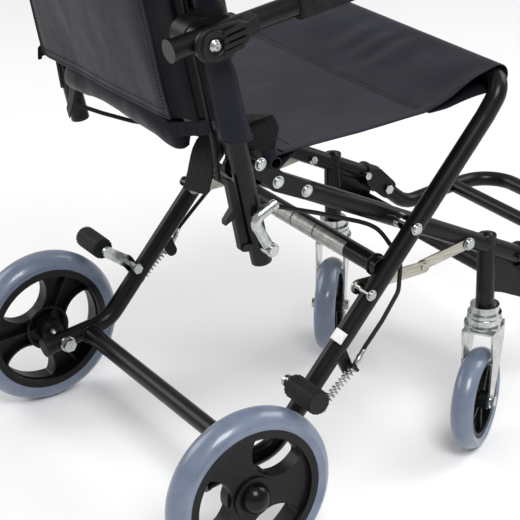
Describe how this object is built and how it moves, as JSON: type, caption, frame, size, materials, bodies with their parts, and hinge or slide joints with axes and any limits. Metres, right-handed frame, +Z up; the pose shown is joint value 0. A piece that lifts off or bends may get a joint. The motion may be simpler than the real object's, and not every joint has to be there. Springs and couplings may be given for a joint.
{
  "type": "folding travel wheelchair",
  "caption": "Attendant-pushed folding travel wheelchair with crossed tube frame, cloth seat and back, small rear wheels, swivel casters, pedal brakes and a loop footrest.",
  "frame": {"origin": "on the floor, midway between the sides and midway between the grips' ends and the footrest's front", "axes": "+Z up, -Y the way the chair faces, +X to the sitter's left"},
  "size_m": [0.5356, 0.866, 0.918],
  "materials": {
    "frame_black": "satin black powder coat",
    "black_plastic": "moulded matt",
    "hub_plastic": "moulded satin",
    "zinc": "bright zinc plate",
    "nickel": "satin nickel plate",
    "tyre_grey": "smooth solid tyre",
    "black_rubber": "matt",
    "foam": "closed-cell foam",
    "cloth": "coated nylon weave",
    "cable_black": "sheathed cable",
    "label_silver": "blank satin foil"
  },
  "bodies": {
    "base": {"rail_left": "frame_black", "rail_right": "frame_black", "front_cross_tube": "frame_black", "seat_rear_bar": "frame_black", "caster_stems": "frame_black", "back_hinge_brackets": "frame_black", "frame_pivot_bolts": "zinc", "frame_bolts": "zinc", "footrest_knuckles": "black_plastic", "caster_cups": "zinc", "brake_cables_rail": "cable_black", "seat_sling": "cloth"},
    "leg_frame": {"leg_left": "frame_black", "leg_right": "frame_black", "seat_front_bar": "frame_black", "rear_cross_tube": "frame_black", "mid_cross_tube": "frame_black", "label_bands": "label_silver", "leg_end_caps": "black_plastic", "rear_axle_bolts": "zinc", "brake_brackets": "frame_black", "leg_bolts": "zinc", "brake_springs": "zinc", "brake_cables_leg": "cable_black"},
    "rear_wheel_left": {"rear_tyre_left": "tyre_grey", "rear_hub_left": "hub_plastic"},
    "rear_wheel_right": {"rear_tyre_right": "tyre_grey", "rear_hub_right": "hub_plastic"},
    "caster_left": {"caster_fork_left": "zinc", "caster_axle_left": "zinc"},
    "caster_wheel_left": {"caster_tyre_left": "tyre_grey", "caster_hub_left": "hub_plastic"},
    "caster_right": {"caster_fork_right": "zinc", "caster_axle_right": "zinc"},
    "caster_wheel_right": {"caster_tyre_right": "tyre_grey", "caster_hub_right": "hub_plastic"},
    "stay_front": {"stay_front_bars": "nickel"},
    "stay_rear": {"stay_rear_bars": "nickel"},
    "backrest": {"back_post_left": "frame_black", "back_post_right": "frame_black", "back_sling": "cloth", "back_pocket": "cloth", "push_grips": "black_rubber", "armrest_clamps": "black_plastic", "hand_lever_mounts": "black_plastic", "back_fittings": "black_plastic", "brake_cables_back": "cable_black"},
    "armrest_left": {"armrest_tube_left": "frame_black", "armrest_pad_left": "foam"},
    "armrest_right": {"armrest_tube_right": "frame_black", "armrest_pad_right": "foam"},
    "hand_lever_left": {"hand_lever_left": "black_plastic"},
    "hand_lever_right": {"hand_lever_right": "black_plastic"},
    "brake_left": {"brake_lever_left": "zinc", "brake_pedal_left": "black_rubber"},
    "brake_right": {"brake_lever_right": "zinc", "brake_pedal_right": "black_rubber"},
    "footrest": {"footrest_loop": "frame_black"},
    "lock_rod": {"back_lock_rod": "zinc"},
    "release_lever": {"back_release_lever": "black_plastic"}
  },
  "joints": [
    {"name": "frame_fold", "type": "hinge", "parent": "base", "child": "leg_frame", "pos_m": [0, -0.014, 0.327], "axis": [-1, 0, 0], "range_deg": [0, 47], "deforming": ["seat_sling"]},
    {"name": "rear_wheel_left_spin", "type": "hinge", "parent": "leg_frame", "child": "rear_wheel_left", "pos_m": [0.2387, 0.237, 0.1], "axis": [1, 0, 0], "continuous": true},
    {"name": "rear_wheel_right_spin", "type": "hinge", "parent": "leg_frame", "child": "rear_wheel_right", "pos_m": [-0.2387, 0.237, 0.1], "axis": [1, 0, 0], "continuous": true},
    {"name": "caster_left_swivel", "type": "hinge", "parent": "base", "child": "caster_left", "pos_m": [0.156, -0.152, 0.16], "axis": [0, 0, 1], "continuous": true},
    {"name": "caster_left_spin", "type": "hinge", "parent": "caster_left", "child": "caster_wheel_left", "pos_m": [0.13802, -0.13463, 0.0625], "axis": [0.6947, 0.7193, 0], "continuous": true},
    {"name": "caster_right_swivel", "type": "hinge", "parent": "base", "child": "caster_right", "pos_m": [-0.156, -0.152, 0.16], "axis": [0, 0, 1], "continuous": true},
    {"name": "caster_right_spin", "type": "hinge", "parent": "caster_right", "child": "caster_wheel_right", "pos_m": [-0.16962, -0.13103, 0.0625], "axis": [0.8387, 0.5446, 0], "continuous": true},
    {"name": "stay_front_fold", "type": "hinge", "parent": "base", "child": "stay_front", "pos_m": [0, -0.113, 0.2715], "axis": [-1, 0, 0], "range_deg": [0, 82]},
    {"name": "stay_rear_fold", "type": "hinge", "parent": "leg_frame", "child": "stay_rear", "pos_m": [0, 0.047, 0.2635], "axis": [-1, 0, 0], "range_deg": [-75, 0]},
    {"name": "back_fold", "type": "hinge", "parent": "base", "child": "backrest", "pos_m": [0, 0.179, 0.446], "axis": [-1, 0, 0], "range_deg": [-80, 0]},
    {"name": "armrest_left_lift", "type": "hinge", "parent": "backrest", "child": "armrest_left", "pos_m": [0.221, 0.26, 0.603], "axis": [-1, 0, 0], "range_deg": [0, 85]},
    {"name": "armrest_right_lift", "type": "hinge", "parent": "backrest", "child": "armrest_right", "pos_m": [-0.221, 0.26, 0.603], "axis": [-1, 0, 0], "range_deg": [0, 85]},
    {"name": "hand_lever_left_squeeze", "type": "hinge", "parent": "backrest", "child": "hand_lever_left", "pos_m": [0.19, 0.333, 0.88], "axis": [1, 0, 0], "range_deg": [0, 8], "stiffness_Nm_per_rad": 1, "springref_deg": -6.88},
    {"name": "hand_lever_right_squeeze", "type": "hinge", "parent": "backrest", "child": "hand_lever_right", "pos_m": [-0.19, 0.333, 0.88], "axis": [1, 0, 0], "range_deg": [0, 8], "stiffness_Nm_per_rad": 1, "springref_deg": -6.88},
    {"name": "brake_left_press", "type": "hinge", "parent": "leg_frame", "child": "brake_left", "pos_m": [0.20175, 0.133, 0.174], "axis": [-1, 0, 0], "range_deg": [0, 6], "stiffness_Nm_per_rad": 4, "springref_deg": -6.88, "deforming": ["brake_springs"]},
    {"name": "brake_right_press", "type": "hinge", "parent": "leg_frame", "child": "brake_right", "pos_m": [-0.20175, 0.133, 0.174], "axis": [-1, 0, 0], "range_deg": [0, 6], "stiffness_Nm_per_rad": 4, "springref_deg": -6.88, "deforming": ["brake_springs"]},
    {"name": "footrest_lift", "type": "hinge", "parent": "base", "child": "footrest", "pos_m": [0, -0.23, 0.204], "axis": [-1, 0, 0], "range_deg": [0, 85]},
    {"name": "lock_rod_swing", "type": "hinge", "parent": "backrest", "child": "lock_rod", "pos_m": [-0.209, 0.184, 0.361], "axis": [-1, 0, 0], "range_deg": [0, 20], "stiffness_Nm_per_rad": 0.6, "springref_deg": -6.88},
    {"name": "release_lever_pull", "type": "hinge", "parent": "backrest", "child": "release_lever", "pos_m": [-0.19, 0.20469, 0.362], "axis": [-1, 0, 0], "range_deg": [0, 8], "stiffness_Nm_per_rad": 0.6, "springref_deg": -6.88}
  ],
  "couplings": [
    {"joint": "stay_front_fold", "follows": "frame_fold", "ratio": 1.6006},
    {"joint": "stay_rear_fold", "follows": "frame_fold", "ratio": -1.4476}
  ]
}
